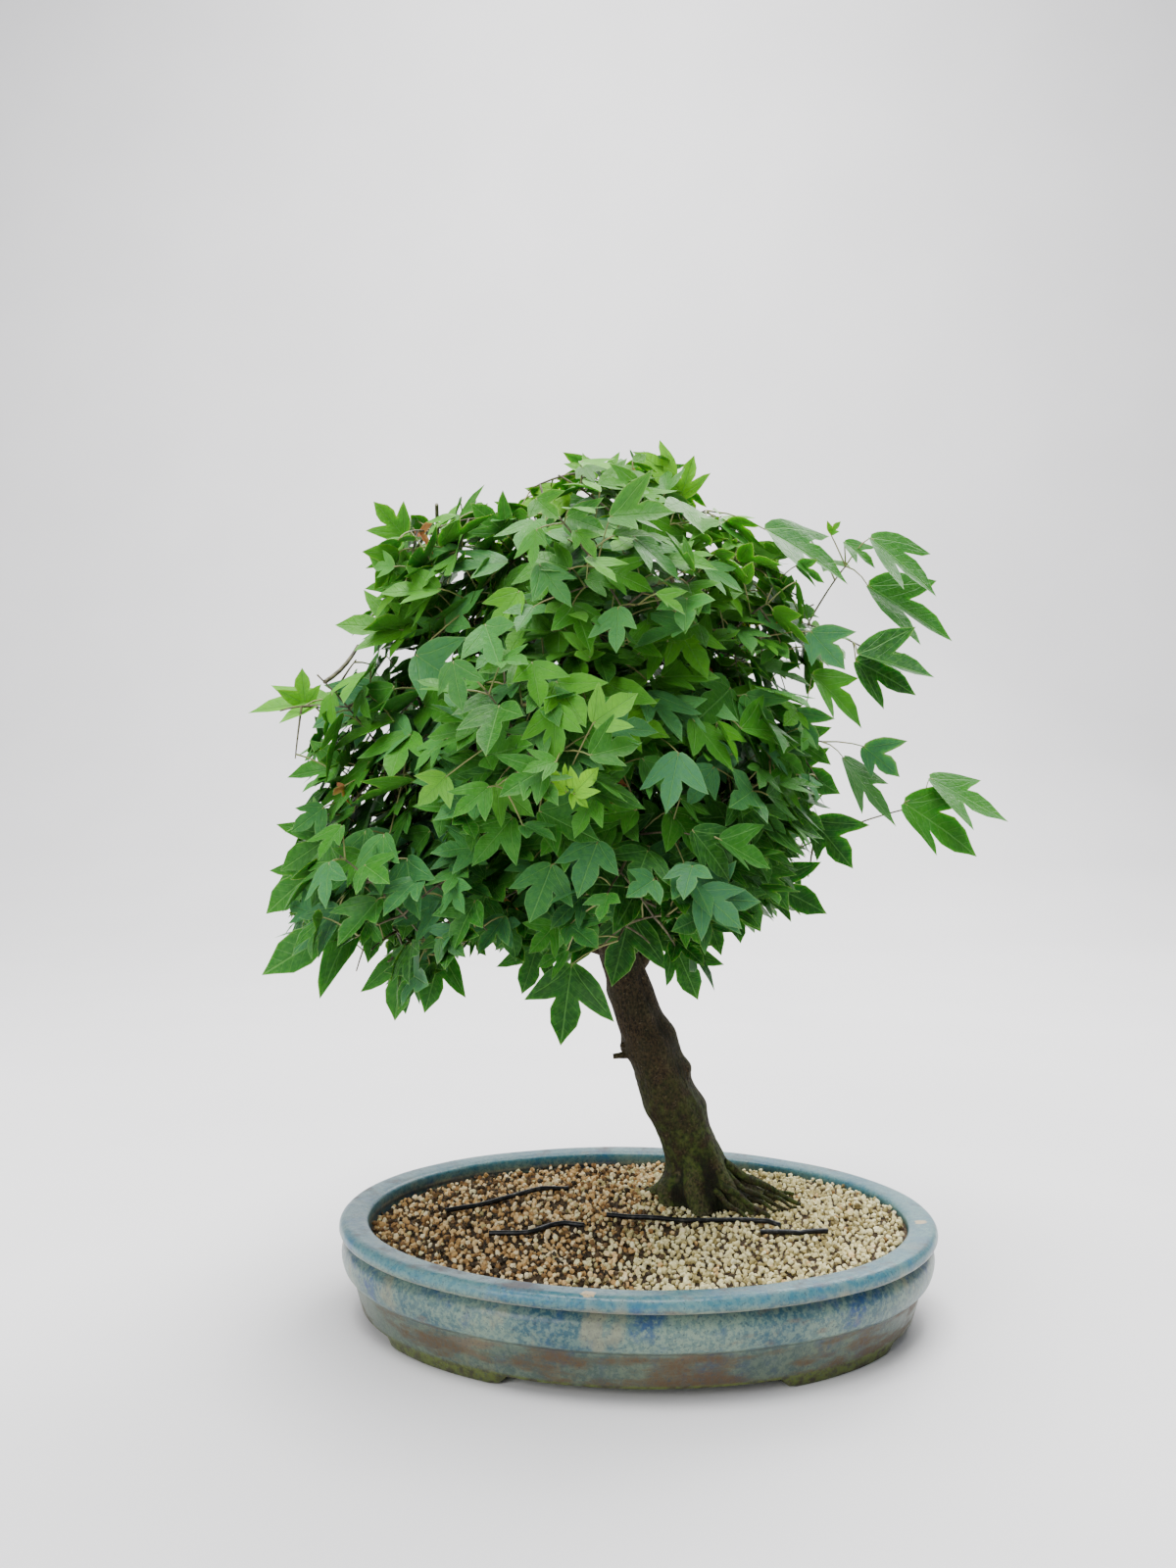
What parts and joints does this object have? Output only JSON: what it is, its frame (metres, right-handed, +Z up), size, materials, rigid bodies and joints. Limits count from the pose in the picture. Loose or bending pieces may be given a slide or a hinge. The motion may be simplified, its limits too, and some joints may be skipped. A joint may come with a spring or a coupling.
{
  "type": "trident maple bonsai in an oval pot",
  "caption": "Small slanting deciduous tree with a flared trunk and tiered crown of three-lobed leaves, growing in gravel in a shallow oval blue-glazed pot on low feet",
  "frame": {"origin": "on the surface that the pot stands on, under the middle of the box round the tree and pot, which is also the middle of the pot", "axes": "+Z up, +X to the right of the front view along the pot's long side, +Y to the back"},
  "size_m": [0.4756, 0.3193, 0.5446],
  "materials": {
    "glaze": "mottled blue glaze with pale runs, brown where it breaks thin",
    "gravel": "loose granules of brown clay, dark lava and pale pumice",
    "bark": "dark fissured bark, mossy near the ground",
    "leaf": "smooth leaf with a soft sheen",
    "wire": "black anodised training wire"
  },
  "bodies": {
    "root": {"pot": "glaze", "gravel_bed": "gravel", "tie_wire_1": "wire", "tie_wire_2": "wire", "tie_wire_3": "wire", "tie_wire_4": "wire", "trunk": "bark", "bough_low_right": "bark", "bough_low_back": "bark", "bough_low_left": "bark", "bough_low_front_left": "bark", "bough_low_front_right": "bark", "bough_mid_right": "bark", "bough_mid_back_right": "bark", "bough_mid_back_left": "bark", "bough_mid_left": "bark", "bough_mid_front": "bark", "bough_high_right": "bark", "bough_high_back": "bark", "bough_high_left": "bark", "bough_high_front": "bark", "foliage_low_right": "leaf", "foliage_low_back": "leaf", "foliage_low_left": "leaf", "foliage_low_front_left": "leaf", "foliage_low_front_right": "leaf", "foliage_mid_right": "leaf", "foliage_mid_back_right": "leaf", "foliage_mid_back_left": "leaf", "foliage_mid_left": "leaf", "foliage_mid_front": "leaf", "foliage_high_right": "leaf", "foliage_high_back": "leaf", "foliage_high_left": "leaf", "foliage_high_front": "leaf", "foliage_apex": "leaf"}
  },
  "joints": []
}
